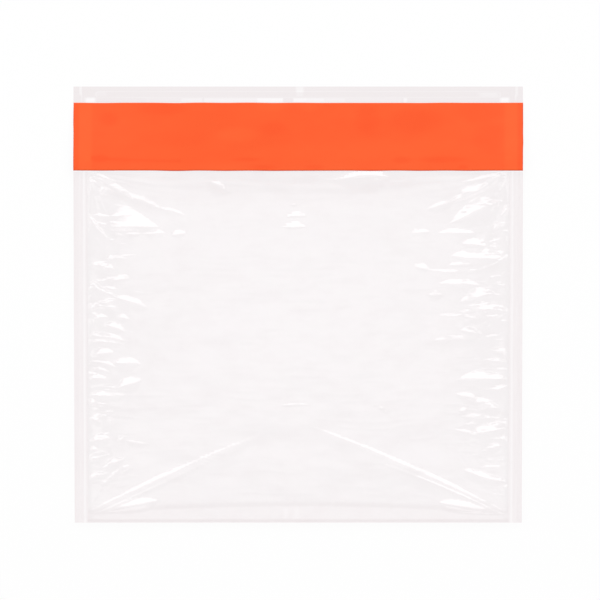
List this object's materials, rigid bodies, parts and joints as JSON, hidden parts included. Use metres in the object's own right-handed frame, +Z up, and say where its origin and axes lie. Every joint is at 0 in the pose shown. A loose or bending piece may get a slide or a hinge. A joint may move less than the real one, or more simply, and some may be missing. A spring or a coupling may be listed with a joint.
{
  "type": "self-seal cellophane bag",
  "caption": "Flat clear film bag, folded at the bottom and welded at both sides, with an open mouth and a closing flap that carries adhesive under a wide orange liner.",
  "frame": {"origin": "on the surface that the bag lies on, under the middle of its bounding box", "axes": "+Z up, away from the surface the bag lies on; +X across the bag between its welded sides; +Y along the bag from the folded bottom edge to the free edge of the flap"},
  "size_m": [0.165, 0.16, 0.0104],
  "materials": {
    "clear_film": "polished",
    "clear_adhesive": "satin",
    "orange_liner": "satin"
  },
  "bodies": {
    "root": {"film_pouch": "clear_film", "adhesive_strip": "clear_adhesive", "release_liner": "orange_liner"}
  },
  "joints": []
}
